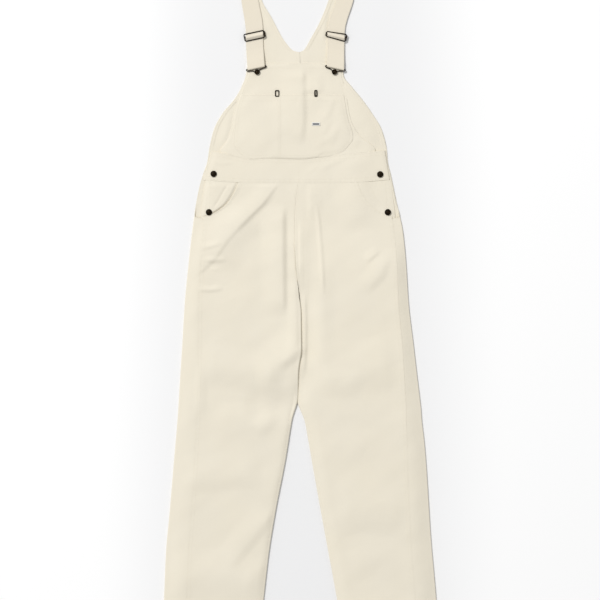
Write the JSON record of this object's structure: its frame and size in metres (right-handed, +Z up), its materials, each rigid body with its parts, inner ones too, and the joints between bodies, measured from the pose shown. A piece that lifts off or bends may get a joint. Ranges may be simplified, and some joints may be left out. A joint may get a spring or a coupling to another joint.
{
  "type": "painter's bib overalls",
  "caption": "Full-length cotton drill bib overalls with high back, patch bib pocket, hip pockets, buckled straps and side buttons, laid flat.",
  "frame": {"origin": "on the flat underside, at the middle of the garment's outline", "axes": "+X towards the wearer's left, +Y from the hems up to the shoulder straps, +Z up from the surface through the front of the garment"},
  "size_m": [0.664, 1.6633, 0.013],
  "materials": {
    "drill": "natural undyed cotton drill, matt",
    "bronze": "dark bronze plating, satin",
    "tab": "plain woven tab"
  },
  "bodies": {
    "root": {"back_half_left": "drill", "back_half_right": "drill", "bib": "drill", "bib_button_left": "bronze", "bib_button_right": "bronze", "bib_pocket": "drill", "buckle_left": "bronze", "buckle_right": "bronze", "front_leg_left": "drill", "front_leg_right": "drill", "pocket_clip_left": "bronze", "pocket_clip_right": "bronze", "pocket_facing_left": "drill", "pocket_facing_right": "drill", "pocket_tab": "tab", "side_button_lower_left": "bronze", "side_button_lower_right": "bronze", "side_button_upper_left": "bronze", "side_button_upper_right": "bronze", "slider_left": "bronze", "slider_right": "bronze", "strap_left": "drill", "strap_right": "drill", "waistband": "drill"}
  },
  "joints": []
}
